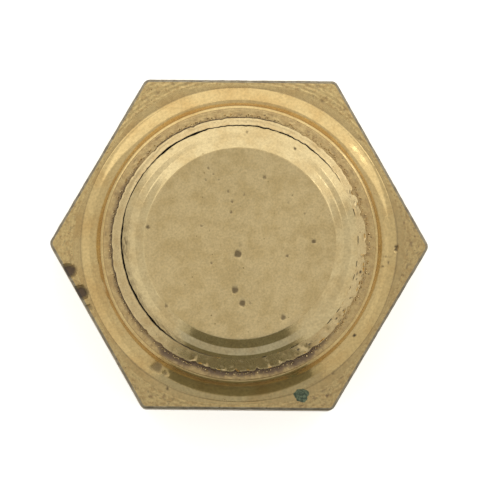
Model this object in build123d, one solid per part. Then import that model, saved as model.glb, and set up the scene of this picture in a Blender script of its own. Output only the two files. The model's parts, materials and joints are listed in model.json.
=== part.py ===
from build123d import *
from math import cos, radians, tan
import os

# A swivel pipe cap, in millimetres. A hexagon nut screws onto the end of a pipe. A blanking insert turns freely in
# the nut's web, held by a head that is rolled over a washer, and carries the flat gasket that the pipe's end meets.
# The origin is the centre of the nut's open rim. The pipe comes up from below, and +Z is out of the closed end.

# The pipe thread. Its wall is left plain here, at the radius of its crests.
thread_crest_radius = 9.3155
thread_depth = 1.162

# The nut.
hex_height = 15.0
wall_behind_thread = 2.0225
corner_radius = 0.55
rim_bevel = 0.3
rim_bevel_angle = 30
thread_relief = 0.1225
web_thickness = 2.46
cove_radius = 1.56
cove_land = 0.44
neck_collar_height = 0.44
neck_edge = 0.12

# The insert, its flange and the gasket under it.
insertion_clearance = 0.2155
flange_thickness = 1.8
flange_edge = 0.2
gasket_thickness = 2.0
gasket_width = 3.1
shoulder_width = 1.1
swivel_clearance = 0.05
swivel_end_play = 0.2
dish_depth = 0.5

# The washer.
washer_thickness = 0.6
washer_inset = 0.2
washer_hole_clearance = 0.1
washer_float = 0.07

# The rolled head, from its edge to the middle.
rolled_edge_inset = 0.94
rolled_edge_height = 0.3
cone_width = 1.14
cone_height = 0.8
ledge_width = 0.5
chamfer_width = 0.65
chamfer_height = 0.6

# Radii worked out from the inside outwards.
thread_root_radius = thread_crest_radius + thread_depth
relief_radius = thread_root_radius + thread_relief
half_flats = thread_root_radius + wall_behind_thread
across_flats = 2 * half_flats
neck_radius = half_flats - cove_land - cove_radius
flange_radius = thread_crest_radius - insertion_clearance
gasket_hole_radius = flange_radius - gasket_width
shank_radius = flange_radius - shoulder_width
neck_hole_radius = shank_radius + swivel_clearance
washer_hole_radius = shank_radius + washer_hole_clearance
washer_radius = neck_radius - washer_inset
head_radius = neck_radius - rolled_edge_inset
ledge_radius = head_radius - cone_width
chamfer_radius = ledge_radius - ledge_width
disc_radius = chamfer_radius - chamfer_width

# Heights, from the rim upwards.
web_bottom = hex_height - web_thickness
flange_top = web_bottom - swivel_end_play
flange_bottom = flange_top - flange_thickness
gasket_bottom = flange_bottom - gasket_thickness
thread_bottom = relief_radius - thread_crest_radius
neck_top = hex_height + cove_radius + neck_collar_height
washer_bottom = neck_top + washer_float
head_bottom = washer_bottom + washer_thickness
cone_bottom = head_bottom + rolled_edge_height
ledge_height = cone_bottom + cone_height
disc_height = ledge_height + chamfer_height


def turned(outline):
    """The solid that a closed outline of (radius, height) points makes, turned about the axis."""
    face = Plane.XZ * make_face(Polyline(*outline, close=True))
    return revolve(face, Axis.Z)


def tube(outer_radius, inner_radius, bottom, top):
    """A plain ring about the axis."""
    ring = Cylinder(outer_radius, top - bottom, align=(Align.CENTER, Align.CENTER, Align.MIN))
    hole = Cylinder(inner_radius, top - bottom, align=(Align.CENTER, Align.CENTER, Align.MIN))
    return Pos(0, 0, bottom) * (ring - hole)


def hexagon_bar():
    """The nut's outside: a hexagon with flats facing +Y and -Y, rounded corners and a bevel at the rim."""
    section = RegularPolygon(half_flats, 6, major_radius=False, rotation=0)
    section = fillet(section.vertices(), corner_radius)
    bar = extrude(section, hex_height)
    corner_reach = half_flats / cos(radians(30))
    bevel_radius = half_flats - rim_bevel
    bevel_rise = (corner_reach - bevel_radius) * tan(radians(rim_bevel_angle))
    blank = turned(
        [
            (0, 0),
            (bevel_radius, 0),
            (corner_reach, bevel_rise),
            (corner_reach, hex_height),
            (0, hex_height),
        ]
    )
    return bar & blank


def neck():
    """The neck that stands on the hexagon, and the cove that runs out from its foot."""
    cove_centre = (neck_radius + cove_radius, hex_height + cove_radius)
    cove = CenterArc(cove_centre, cove_radius, 180, 90)
    rest = Polyline(
        cove @ 1,
        (neck_hole_radius, hex_height),
        (neck_hole_radius, neck_top),
        (neck_radius - neck_edge, neck_top),
        (neck_radius, neck_top - neck_edge),
        cove @ 0,
    )
    return revolve(Plane.XZ * make_face([cove, rest]), Axis.Z)


def make_hex_nut():
    """The shell: thread wall, relief above it, web, and the hole that the insert turns in."""
    socket = turned(
        [
            (0, 0),
            (relief_radius, 0),
            (thread_crest_radius, thread_bottom),
            (thread_crest_radius, gasket_bottom),
            (relief_radius, gasket_bottom),
            (relief_radius, web_bottom),
            (neck_hole_radius, web_bottom),
            (neck_hole_radius, hex_height),
            (0, hex_height),
        ]
    )
    return (hexagon_bar() - socket) + neck()


def make_blanking_insert():
    """The insert: dished flange, shank, and the head rolled over outside."""
    return turned(
        [
            (0, flange_bottom + dish_depth),
            (gasket_hole_radius - dish_depth, flange_bottom + dish_depth),
            (gasket_hole_radius, flange_bottom),
            (flange_radius, flange_bottom),
            (flange_radius, flange_top - flange_edge),
            (flange_radius - flange_edge, flange_top),
            (shank_radius, flange_top),
            (shank_radius, head_bottom),
            (head_radius, head_bottom),
            (head_radius, cone_bottom),
            (ledge_radius, ledge_height),
            (chamfer_radius, ledge_height),
            (disc_radius, disc_height),
            (0, disc_height),
        ]
    )


def make_retaining_washer():
    """The flat ring that the head is rolled down on."""
    return tube(washer_radius, washer_hole_radius, washer_bottom, head_bottom)


def make_sealing_gasket():
    """The flat ring under the flange."""
    return tube(flange_radius, gasket_hole_radius, gasket_bottom, flange_bottom)


pieces = {
    "hex_nut": make_hex_nut(),
    "blanking_insert": make_blanking_insert(),
    "retaining_washer": make_retaining_washer(),
    "sealing_gasket": make_sealing_gasket(),
}

os.makedirs("parts", exist_ok=True)
for name, solid in pieces.items():
    export_step(solid, f"parts/{name}.step")
print(f"across flats {across_flats:.2f}, height {disc_height:.2f}")
print(f"thread wall from {thread_bottom:.4f} to {gasket_bottom:.4f}, radius {thread_crest_radius}")
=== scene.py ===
# %% [markdown]
# # A swivel pipe cap in brass
# The cap is four pieces: a hexagon nut with a pipe thread inside, a blanking insert that turns in the nut,
# the washer that the insert's head is rolled down on, and a fibre gasket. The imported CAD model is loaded
# first. It fixes every size and place, and each piece below is built around it.

# %% Load the frame
import json
from math import cos, pi, radians, sin, tan
import bpy
import numpy as np
from mathutils import Euler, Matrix, Quaternion, Vector, noise


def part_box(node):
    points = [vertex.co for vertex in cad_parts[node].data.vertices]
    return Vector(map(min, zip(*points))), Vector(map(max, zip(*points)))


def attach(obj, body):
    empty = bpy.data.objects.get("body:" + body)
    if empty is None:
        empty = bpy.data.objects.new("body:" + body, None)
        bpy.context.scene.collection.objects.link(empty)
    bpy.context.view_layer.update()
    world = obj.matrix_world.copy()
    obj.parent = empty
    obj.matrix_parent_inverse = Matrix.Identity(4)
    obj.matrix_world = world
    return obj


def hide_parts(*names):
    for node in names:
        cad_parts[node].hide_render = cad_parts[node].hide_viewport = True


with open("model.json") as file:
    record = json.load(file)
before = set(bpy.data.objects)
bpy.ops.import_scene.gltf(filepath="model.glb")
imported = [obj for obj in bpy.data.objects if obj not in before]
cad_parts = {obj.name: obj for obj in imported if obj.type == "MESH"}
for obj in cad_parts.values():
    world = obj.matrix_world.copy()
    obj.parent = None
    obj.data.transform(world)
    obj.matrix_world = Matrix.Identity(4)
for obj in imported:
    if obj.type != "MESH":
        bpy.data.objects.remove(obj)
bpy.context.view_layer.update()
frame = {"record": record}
scene = bpy.context.scene

# %% [markdown]
# Lengths are easier to read in millimetres, so the shapes are worked out in them and turned to metres at the
# end. What the frame knows is read from it.

# %% What the frame gives
MM = 0.001


def box_mm(node):
    """A CAD node's lowest and highest corner, in millimetres."""
    low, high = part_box(node)
    return low / MM, high / MM


nut_high = box_mm("hex_nut")[1]
insert_low, insert_high = box_mm("blanking_insert")
washer_low, washer_high = box_mm("retaining_washer")
gasket_low, gasket_high = box_mm("sealing_gasket")
socket = next(m for m in frame["record"]["mounts"] if m["name"] == "pipe_socket")

half_flats = nut_high.y
neck_top = nut_high.z
thread_crest_radius = socket["dims"]["r_mm"]
head_radius = insert_high.x
washer_radius = washer_high.x
gasket_radius = gasket_high.x
disc_height = insert_high.z
print(f"hexagon {2 * half_flats:.2f} across flats, thread {thread_crest_radius:.2f} in radius at its crests")

# %% [markdown]
# A bounding box can't give the sizes of the steps inside it, so these few repeat the CAD's own values. The
# radii and heights that the rings below need are worked out from them.

# %% Sizes in millimetres
corner_radius = 0.55
rim_bevel = 0.3
rim_bevel_slope = tan(radians(30))
cove_radius = 1.56
cove_land = 0.44
neck_collar_height = 0.44
web_thickness = 2.46
thread_depth = 1.162
thread_pitch = 1.814
thread_relief = 0.1225
shoulder_width = 1.1
swivel_clearance = 0.05
swivel_end_play = 0.2
flange_edge = 0.2
dish_depth = 0.5
gasket_width = 3.1
washer_hole_clearance = 0.1
rolled_edge_height = 0.3
cone_width = 1.14
cone_height = 0.8
ledge_width = 0.5
chamfer_width = 0.65

hex_height = neck_top - cove_radius - neck_collar_height
neck_radius = half_flats - cove_land - cove_radius
thread_root_radius = thread_crest_radius + thread_depth
relief_radius = thread_root_radius + thread_relief
web_bottom = hex_height - web_thickness
shank_radius = gasket_radius - shoulder_width
neck_hole_radius = shank_radius + swivel_clearance
flange_top = web_bottom - swivel_end_play
gasket_hole_radius = gasket_radius - gasket_width
dish_radius = gasket_hole_radius - dish_depth
dish_height = insert_low.z + dish_depth
cone_bottom = washer_high.z + rolled_edge_height
ledge_height = cone_bottom + cone_height
ledge_radius = head_radius - cone_width
chamfer_radius = ledge_radius - ledge_width
disc_radius = chamfer_radius - chamfer_width
print(f"hexagon {hex_height:.2f} high, neck {neck_radius:.2f} and end face {disc_radius:.2f} in radius")

# %% [markdown]
# ## Helpers for finishes
# Each finish is a small tree of shader nodes. One function adds a node with its settings and its links, so
# that a tree reads as a list of what feeds what. Colours are written as the sRGB hex values that a paint
# program shows, and the renderer wants linear light, so one function converts them.

# %% Nodes and colours
def add(tree, kind, inputs=None, **settings):
    """Adds a node. Settings are its properties. An input gets a value, or a socket or node that feeds it."""
    node = tree.nodes.new(kind)
    for name, value in settings.items():
        setattr(node, name, value)
    for name, value in (inputs or {}).items():
        feed(tree, value, node.inputs[name] if isinstance(name, int) else find(node.inputs, name))
    return node


def feed(tree, value, put):
    """Gives an input a value or a link. A node stands for its first output in use."""
    if isinstance(value, bpy.types.Node):
        value = find(value.outputs)
    if isinstance(value, bpy.types.NodeSocket):
        tree.links.new(value, put)
    else:
        put.default_value = value


def find(sockets, name=None):
    """The first socket in use, or the first of that name. A node hides those of its other data types."""
    return next(s for s in sockets if s.enabled and name in (None, s.name))


def srgb(code):
    """A hex colour as linear red, green, blue and full alpha."""
    parts = [int(code[i : i + 2], 16) / 255 for i in (1, 3, 5)]
    return [p / 12.92 if p <= 0.04045 else ((p + 0.055) / 1.055) ** 2.4 for p in parts] + [1.0]


def per_mm(size):
    """The texture scale that makes a pattern's grain this many millimetres wide."""
    return 1 / (size * MM)


def blank_material(name):
    """A new material, its tree and its shader."""
    material = bpy.data.materials.new(name)
    material.use_nodes = True
    tree = material.node_tree
    return material, tree, tree.nodes["Principled BSDF"]


# %% [markdown]
# ## Brass
# Every metal piece is brass, an alloy of copper and zinc, and the finishes differ in how the surface was
# made and how it aged. Turning leaves fine rings about the axis, so their height follows a noise read along
# the radius alone. Air dulls brass in soft patches, and small brown pits grow where the alloy lost zinc.
# Grime fills what a cloth can't reach, and each mesh says where with an attribute named grime.
# The same attribute also carries painted shade: in the cove's foot, in the lap, under the rolled rim and
# beside it on the washer, and a painted reflection of the tent's dark opening on the washer's lower side.
# One function builds this common tree, and each finish gives it the colours, grain sizes and depths of its
# own surface.

# %% The common brass tree
def brass(name, clean, dull, stain, gloss, rings, patches, pits, grain, lathe=0.0, dirt="#3a2e22"):
    """
    A brass finish. gloss is (low, high) roughness, rings (pitch mm, depth mm), patches (size mm, dull share),
    pits (cell mm, radius as a share of the cell, share of cells that have one), grain (size mm, depth mm),
    lathe how much the tool's grooves spread light across them, and dirt the colour of what has settled in,
    which is also the colour of the painted shade that the grime attribute carries.
    """
    material, tree, shader = blank_material(name)
    shader.inputs["Anisotropic"].default_value = lathe
    shader.inputs["Anisotropic Rotation"].default_value = 0.25
    around = add(tree, "ShaderNodeTangent", direction_type="RADIAL", axis="Z")
    feed(tree, around, shader.inputs["Tangent"])
    place = add(tree, "ShaderNodeTexCoord").outputs["Object"]
    across = add(tree, "ShaderNodeVectorMath", {0: place, 1: (1, 1, 0)}, operation="MULTIPLY")
    radius = add(tree, "ShaderNodeVectorMath", {0: across}, operation="LENGTH").outputs["Value"]
    along = add(tree, "ShaderNodeMath", {0: radius, 1: per_mm(rings[0])}, operation="MULTIPLY")

    ring = add(tree, "ShaderNodeTexNoise", {"W": along, "Scale": 1.0, "Detail": 3.0}, noise_dimensions="1D")
    patch = add(tree, "ShaderNodeTexNoise", {"Vector": place, "Scale": per_mm(patches[0]), "Detail": 5.0})
    grit = add(tree, "ShaderNodeTexNoise", {"Vector": place, "Scale": per_mm(grain[0]), "Detail": 3.0})
    cells = add(tree, "ShaderNodeTexVoronoi", {"Vector": place, "Scale": per_mm(pits[0])})

    edge = 0.72 - 0.4 * patches[1]
    dulling = add(
        tree, "ShaderNodeMapRange", {"Value": patch, "From Min": edge - 0.16, "From Max": edge + 0.16},
        interpolation_type="SMOOTHSTEP",
    )
    coats = {"Factor": dulling, "A": srgb(clean), "B": srgb(dull)}
    colour = add(tree, "ShaderNodeMix", coats, data_type="RGBA")

    lucky = add(tree, "ShaderNodeSeparateColor", {"Color": cells.outputs["Color"]})
    has_pit = add(tree, "ShaderNodeMath", {0: lucky.outputs["Red"], 1: pits[2]}, operation="LESS_THAN")
    reach = add(tree, "ShaderNodeMath", {0: lucky.outputs["Green"], 1: pits[1]}, operation="MULTIPLY")
    inside = add(
        tree, "ShaderNodeMapRange",
        {"Value": cells.outputs["Distance"], "From Max": reach, "To Min": 1.0, "To Max": 0.0},
        interpolation_type="SMOOTHSTEP",
    )
    pit = add(tree, "ShaderNodeMath", {0: inside, 1: has_pit}, operation="MULTIPLY")
    colour = add(tree, "ShaderNodeMix", {"Factor": pit, "A": colour, "B": srgb(stain)}, data_type="RGBA")
    speckle = add(
        tree, "ShaderNodeMapRange",
        {"Value": grit, "From Min": 0.3, "From Max": 0.7, "To Min": 0.86, "To Max": 1.1},
    )
    colour = add(tree, "ShaderNodeVectorMath", {0: colour, "Scale": speckle}, operation="SCALE")

    # Where grime is high the dirt colour takes over: real dirt, and painted shade where a mesh puts it.
    grime = add(tree, "ShaderNodeAttribute", attribute_name="grime").outputs["Fac"]
    dirty = add(tree, "ShaderNodeMix", {"Factor": grime, "A": colour, "B": srgb(dirt)}, data_type="RGBA")
    bare = add(tree, "ShaderNodeMapRange", {"Value": grime, "To Min": 1.0, "To Max": 0.25})
    rough = add(
        tree, "ShaderNodeMapRange",
        {"Value": patch, "From Min": 0.3, "From Max": 0.7, "To Min": gloss[0], "To Max": gloss[1]},
    )
    rougher = add(tree, "ShaderNodeMix", {"Factor": grime, "A": rough, "B": 0.7}, data_type="FLOAT")
    feed(tree, dirty, shader.inputs["Base Color"])
    feed(tree, bare, shader.inputs["Metallic"])
    feed(tree, rougher, shader.inputs["Roughness"])

    turned = add(tree, "ShaderNodeBump", {"Height": ring, "Distance": rings[1] * MM})
    sunk = add(tree, "ShaderNodeMath", {0: grit, 1: pit}, operation="SUBTRACT")
    rubbed = add(tree, "ShaderNodeBump", {"Height": sunk, "Distance": grain[1] * MM, "Normal": turned})
    feed(tree, rubbed, shader.inputs["Normal"])
    return material


# %% [markdown]
# The turned finish is what a lathe tool leaves: bright, with rings too fine to see one by one, drawn about
# 0.15 mm apart so that they still show. The insert has the same finish, paler and a little rougher from
# hands and tools, and its end face has been rubbed dull and speckled. The forged skin on the hexagon's
# corners was never cut, so it is rough, pitted and stained. The rolled lip was pressed hard and is pale,
# with black dirt in its tears, and the same dark colour paints the shade in its lap and under its rim. The
# flats are drawn bar with the die's fine upright lines: rings about the axis are upright lines on a flat, so
# the common tree draws them too. The socket was cut and never rubbed, so it is a little darker, the washer
# has tarnished brown, and oxide has dulled the worn edges.

# %% Brass finishes
# The nut's default dirt colour also paints the shade at the cove's foot.
turned_brass = brass(
    "turned_brass", "#ebce91", "#e0bd7e", "#8a6a3c", (0.11, 0.17), (0.15, 0.0026), (2.4, 0.4),
    (1.3, 0.1, 0.25), (0.2, 0.001), lathe=0.6,
)
pale_turned_brass = brass(
    "pale_turned_brass", "#efd8a3", "#e3c891", "#8f7448", (0.13, 0.2), (0.15, 0.003), (1.6, 0.45),
    (1.0, 0.12, 0.3), (0.18, 0.0016), lathe=0.6, dirt="#5a4626",
)
dull_face = brass(
    "dull_turned_face", "#e9d09a", "#dbc18a", "#8a7042", (0.28, 0.36), (0.2, 0.004), (1.1, 0.5),
    (0.6, 0.16, 0.6), (0.14, 0.003), lathe=0.6, dirt="#5a4a30",
)
forged_skin = brass(
    "forged_skin", "#e4c98d", "#cfb079", "#8a6a46", (0.3, 0.44), (0.3, 0.002), (0.25, 0.45),
    (0.26, 0.3, 0.45), (0.12, 0.012), dirt="#58473a",
)
# The rolled lip's dark dirt colour also paints the shade in its lap and under its rim.
rolled_lip = brass(
    "rolled_lip", "#edd49f", "#dfc28c", "#8a6a48", (0.24, 0.34), (0.25, 0.002), (0.9, 0.4),
    (0.5, 0.2, 0.35), (0.13, 0.004), dirt="#241a12",
)
drawn_flats = brass(
    "drawn_flats", "#dabd84", "#cbae75", "#7d6340", (0.24, 0.34), (0.05, 0.006), (1.1, 0.6),
    (0.7, 0.13, 0.45), (0.15, 0.003),
)
cut_socket = brass(
    "cut_socket", "#dabb7c", "#c4a56c", "#6e5534", (0.22, 0.34), (0.2, 0.003), (0.9, 0.7),
    (0.7, 0.16, 0.4), (0.15, 0.004),
)
# The washer's dirt colour also paints its shadow line by the rim and its darker bottom arc.
washer_tarnish = brass(
    "tarnished_washer", "#e0c38a", "#cfb07b", "#6b5442", (0.3, 0.42), (0.14, 0.005), (0.5, 0.5),
    (0.35, 0.3, 0.5), (0.13, 0.006), lathe=0.4, dirt="#54413a",
)
edge_oxide = brass(
    "edge_oxide", "#b6aa90", "#9b907c", "#5c5246", (0.45, 0.6), (0.5, 0.001), (0.5, 0.5),
    (0.3, 0.3, 0.4), (0.15, 0.006), dirt="#4a4038",
)
print("brass finishes:", [m.name for m in bpy.data.materials])


# %% [markdown]
# ## Shells made ring by ring
# The nut and the insert are turned on a lathe, so each is a stack of rings about the axis. What a lathe
# alone can't give is the hexagon and the ragged rolled edge, where a ring's radius changes with the angle.
# So each piece is a list of rings, and each ring holds a radius and a height for every angle. A revolve or a
# boolean would need extra cuts for the same thing, and this way the faces stay even and the mesh is closed
# by construction.

# %% Rings to mesh
ANGLES = 540
turn = np.arange(ANGLES) * 2 * pi / ANGLES


class Shell:
    """Rings of one piece, in millimetres, each with the finish of the faces that lead to it, and its dirt and
    painted shade.
    """

    def __init__(self):
        self.rings = []

    def ring(self, radius, height, finish=0, grime=0.0):
        """Adds one ring. Each value is a number or one number for each angle."""
        values = [np.broadcast_to(np.asarray(v, float), ANGLES) for v in (radius, height, grime)]
        self.rings.append(values + [finish])

    def run(self, start, end, steps, finish=0, grime=0.0):
        """Adds rings in even steps from start, which isn't added, to end. Both are (radius, height)."""
        for step in range(1, steps + 1):
            share = step / steps
            radius = start[0] + share * (end[0] - start[0])
            self.ring(radius, start[1] + share * (end[1] - start[1]), finish, grime)


def shell_object(name, shell, finishes, closed_loop):
    """The shell's mesh. Its rings meet end to end, or a fan about a point on the axis closes each end."""
    radius, height, grime = (np.array([r[i] for r in shell.rings]) for i in range(3))
    points = np.stack([radius * np.cos(turn), radius * np.sin(turn), height], axis=-1).reshape(-1, 3)
    count = len(shell.rings)
    column = np.arange(ANGLES)
    beside = (column + 1) % ANGLES
    faces, slots = [], []
    for row in range(count if closed_loop else count - 1):
        here, there = row * ANGLES, (row + 1) % count * ANGLES
        faces += np.stack([here + column, there + column, there + beside, here + beside], axis=-1).tolist()
        slots += [shell.rings[(row + 1) % count][3]] * ANGLES
    values = grime.ravel()
    if not closed_loop:
        top, bottom = len(points), len(points) + 1
        ends = [[0, 0, height[0].mean()], [0, 0, height[-1].mean()]]
        points = np.vstack([points, ends])
        values = np.append(values, [grime[0].mean(), grime[-1].mean()])
        last = (count - 1) * ANGLES
        faces += [[top, int(a), int(b)] for a, b in zip(column, beside)]
        faces += [[bottom, last + int(b), last + int(a)] for a, b in zip(column, beside)]
        slots += [shell.rings[0][3]] * ANGLES + [shell.rings[-1][3]] * ANGLES
    mesh = bpy.data.meshes.new(name)
    mesh.from_pydata((points * MM).tolist(), [], faces)
    for material in finishes:
        mesh.materials.append(material)
    mesh.polygons.foreach_set("material_index", slots)
    mesh.attributes.new("grime", "FLOAT", "POINT").data.foreach_set("value", np.clip(values, 0, 1))
    mesh.shade_smooth()
    mesh.set_sharp_from_angle(angle=radians(32))
    piece = bpy.data.objects.new(name, mesh)
    scene.collection.objects.link(piece)
    print(f"{name}: {len(shell.rings)} rings, {sum(len(f) - 2 for f in faces)} triangles")
    return piece


# %% [markdown]
# Worn metal is uneven at every scale. The helpers below give that unevenness, and each gives the same answer
# on every run. One is a wavy value round the circle, a sum of waves whose strengths are drawn from a seeded
# generator, and one cuts seeded nicks. A smooth step and a window fade a feature in and out, and a dent
# sinks a hollow into the rings where it is told.

# %% Unevenness
def waviness(seed, lowest, highest):
    """One value for each angle, from about -1 to 1, with waves that go round from lowest to highest times."""
    draw = np.random.default_rng(seed)
    counts = np.arange(lowest, highest + 1)
    strength = draw.uniform(0.4, 1.0, len(counts)) / np.sqrt(counts)
    start = draw.uniform(0, 2 * pi, len(counts))
    wave = (strength * np.sin(np.outer(turn, counts) + start)).sum(axis=1)
    return wave / np.abs(wave).max()


def smooth(value, low, high):
    """0 below low, 1 above high and an easy slope between."""
    share = np.clip((np.asarray(value) - low) / (high - low), 0, 1)
    return share * share * (3 - 2 * share)


def notches(seed, count, widest, deepest):
    """For each angle, how deep it lies in a set of small nicks. Widths are in degrees, depths in mm."""
    draw = np.random.default_rng(seed)
    depth = np.zeros(ANGLES)
    for middle, wide, deep in zip(*(draw.uniform(low, 1, count) for low in (0, 0.25, 0.2))):
        away = np.abs((np.degrees(turn) - 360 * middle + 180) % 360 - 180)
        depth = np.maximum(depth, deepest * deep * np.clip(1 - away / (widest * wide), 0, 1))
    return depth


def arc_window(start, end, fade):
    """1 between two angles in degrees, counted from +X towards +Y, fading out over fade degrees beyond."""
    middle, half = (start + end) / 2, (end - start) / 2
    away = np.abs((np.degrees(turn) - middle + 180) % 360 - 180)
    return 1 - smooth(away, half, half + fade)


def dent(radius, height, grime, spots):
    """Sinks uneven hollows into rings. Each spot is (x, y, radius, depth, grime), in millimetres."""
    x, y = radius * np.cos(turn), radius * np.sin(turn)
    for spot_x, spot_y, size, depth, dirt in spots:
        facing = np.arctan2(y - spot_y, x - spot_x)
        uneven = 1 + 0.07 * np.sin(3 * facing + 7 * spot_x) + 0.06 * np.sin(4 * facing + 5 * spot_y)
        share = 1 - smooth(np.hypot(x - spot_x, y - spot_y) * uneven, 0.5 * size, size)
        height = height - depth * share
        grime = np.maximum(grime, dirt * share)
    return height, grime


print("angles:", ANGLES, "which is", round(2 * pi * half_flats / ANGLES, 3), "mm apart at the flats")

# %% [markdown]
# ## The blanking insert
# The insert is one turned piece of brass. Its flat end face, a narrow chamfer, a ledge and a cone make the
# head. The metal outside the cone's foot was rolled down on the washer. It folded over itself there, which
# leaves a lap that wanders inwards, dark with dirt and with painted shade, and its rim split into a ragged
# edge. Few sizes set all that: where the lap runs, how open it is along the circle, and how ragged the rim
# is.

# %% Lap and rim of the insert
LAP_DEPTH = 0.42
LAP_INSET = 0.57
LAP_FALL = 0.26
LAP_WIDTH = 0.1
RIM_OVERHANG = 0.1
lap_fall = smooth(np.degrees(turn), 150, 225) * arc_window(60, 290, 40)
lap_radius = head_radius - LAP_INSET - LAP_FALL * lap_fall
lap_radius = lap_radius + 0.028 * waviness(3, 4, 40) + 0.016 * waviness(4, 60, 160)
lap_radius = lap_radius + 0.04 * waviness(6, 40, 130) * arc_window(30, 104, 8)
lap_open = arc_window(50, 243, 20) * (0.6 + 0.4 * smooth(waviness(5, 5, 30), -0.4, 0.3))
lap_open = np.maximum(lap_open, 0.5 * arc_window(-75, 40, 10) * smooth(waviness(11, 12, 60), 0.15, 0.4))
thick = np.maximum(arc_window(108, 130, 5), 0.75 * arc_window(174, 224, 14)) + 0.3 * arc_window(44, 100, 6)
lap_half = LAP_WIDTH * (0.28 + 0.45 * thick + 0.22 * waviness(7, 20, 110)) * (0.3 + 0.7 * lap_open)
lap_half = np.clip(lap_half, 0.012, LAP_WIDTH)
lap_stain = 0.95 * arc_window(168, 236, 8) * (0.6 + 0.4 * waviness(9, 10, 60))
broken = arc_window(-112, 22, 12)
rim_radius = head_radius + RIM_OVERHANG - 0.07 * arc_window(20, 140, 25)
rim_radius = rim_radius + 0.025 * waviness(13, 5, 20) + 0.022 * waviness(17, 30, 110)
rim_radius = rim_radius - notches(19, 52, 2.2, 0.12) - broken * notches(20, 70, 2.6, 0.24)
# Dirt and painted shade where the rim turns down over the washer, heavier in three arcs.
rim_dirt_and_shade = 0.3 + 0.7 * np.maximum.reduce(
    [arc_window(66, 130, 10), arc_window(160, 215, 12), arc_window(250, 300, 10)]
)
print(f"lap from {lap_radius.min():.2f} to {lap_radius.max():.2f},",
      f"rim from {rim_radius.min():.2f} to {rim_radius.max():.2f}")

# %% [markdown]
# The end face carries the dents of years in a toolbox. They were struck one by one, so a formula can't place
# them, and they are a list. A tool rest that sat a little to one side also left the face just off the axis.

# %% Dents of the end face
OFF_CENTRE = (0.03, 0.045)
DENT_GRIME = 1.3
DENT_GRIME_LIMIT = 0.85
face_dents = [
    (-0.11, -0.76, 0.36, 0.07, 0.75), (0.06, -0.12, 0.2, 0.02, 0.3), (-0.3, -3.49, 0.33, 0.06, 0.7),
    (0.27, -4.48, 0.32, 0.06, 0.7), (0.84, -4.46, 0.13, 0.03, 0.5), (3.36, -5.54, 0.27, 0.06, 0.6),
    (5.61, 0.23, 0.2, 0.05, 0.8), (3.64, -0.88, 0.15, 0.03, 0.6), (1.86, 5.05, 0.2, 0.03, 0.55),
    (-6.94, 1.2, 0.2, 0.04, 0.8), (-2.1, -1.47, 0.13, 0.03, 0.6), (-5.46, -4.73, 0.16, 0.03, 0.5),
    (-2.4, 5.7, 0.13, 0.03, 0.55), (-0.89, 3.96, 0.13, 0.03, 0.55), (-0.58, 3.2, 0.16, 0.03, 0.5),
    (-0.65, 2.38, 0.14, 0.03, 0.6), (-2.88, 1.32, 0.12, 0.03, 0.5), (-2.0, 5.25, 0.1, 0.03, 0.5),
    (-1.6, 4.85, 0.11, 0.03, 0.5), (-2.6, 4.8, 0.1, 0.03, 0.5), (3.98, 3.7, 0.12, 0.03, 0.5),
    (3.67, 3.15, 0.12, 0.03, 0.4), (4.94, 2.34, 0.1, 0.03, 0.5), (0.32, 3.7, 0.13, 0.03, 0.45),
    (4.13, 7.26, 0.13, 0.05, 0.7), (0.5, 8.5, 0.12, 0.04, 0.6), (-5.2, 7.15, 0.15, 0.03, 0.3),
]


def off_centre(radius, share=1.0):
    """A circle a little off the axis, as radii about the axis."""
    x, y = OFF_CENTRE[0] * share, OFF_CENTRE[1] * share
    shift = x * np.cos(turn) + y * np.sin(turn)
    return shift + np.sqrt(np.maximum(shift**2 + radius**2 - x**2 - y**2, (0.2 * radius) ** 2))


def face_ring(shell, radius, height, finish, stain=0.0):
    """A ring of the end face, with its dents and stain."""
    height, grime = dent(radius, height + 0.0 * turn, 0.0 * turn, face_dents)
    shell.ring(radius, height, finish, np.maximum(np.clip(DENT_GRIME * grime, 0, DENT_GRIME_LIMIT), stain))


def speckled(share, seed):
    """A stain's strength at each angle, broken up into specks that differ from ring to ring."""
    return 0.25 + 0.75 * smooth(waviness(seed + int(7 * share), 30, 110), -0.3, 0.35)


print(len(face_dents), "dents, the largest", 2 * max(spot[2] for spot in face_dents), "mm across")

# %% [markdown]
# The face, the chamfer and the ledge come first, from the middle outwards. The ledge isn't quite level: it
# rises a little towards the chamfer, as the tool left it. Dirt from the lap has spread over its outer part.

# %% End face, chamfer and ledge
FACE, TURNED, LIP = 0, 1, 2
LEDGE_RISE = 0.11
FACE_EDGE = 0.03
FACE_EDGE_FALL = 0.012
insert_shell = Shell()
for radius in np.linspace(0.15, disc_radius - FACE_EDGE, 70):
    face_ring(insert_shell, off_centre(radius, smooth(radius, 0, 2)), disc_height, FACE)
face_ring(insert_shell, off_centre(disc_radius), disc_height - FACE_EDGE_FALL, FACE)
for share in np.linspace(0.15, 1, 7):
    radius = off_centre(disc_radius + share * (chamfer_radius - disc_radius), 1 - 0.3 * share)
    face_ring(insert_shell, radius, disc_height - share * (disc_height - ledge_height - LEDGE_RISE), TURNED)
for share in np.linspace(0.12, 1, 7):
    radius = off_centre(chamfer_radius + share * (ledge_radius - chamfer_radius), 0.7 * (1 - share))
    stain = 0.45 * lap_stain * speckled(share, 100) * smooth(share, 0.5, 0.9)
    face_ring(insert_shell, radius, ledge_height + LEDGE_RISE * (1 - share), TURNED, stain)
print("face, chamfer and ledge:", len(insert_shell.rings), "rings")

# %% [markdown]
# The cone falls from the ledge to the lap. The lap is a real slot in the mesh, four rings deep, and it
# closes where the lap is shut, because its depth and its width both follow how open it is. Its faces are
# darkened with dirt and with painted shade, the more the wider it opens.

# %% Cone and lap
def head_height(radius):
    """The height of the cone at a radius. The lip carries on along it."""
    slope = (ledge_height - cone_bottom) / (head_radius - ledge_radius)
    return ledge_height - slope * (radius - ledge_radius)


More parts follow.
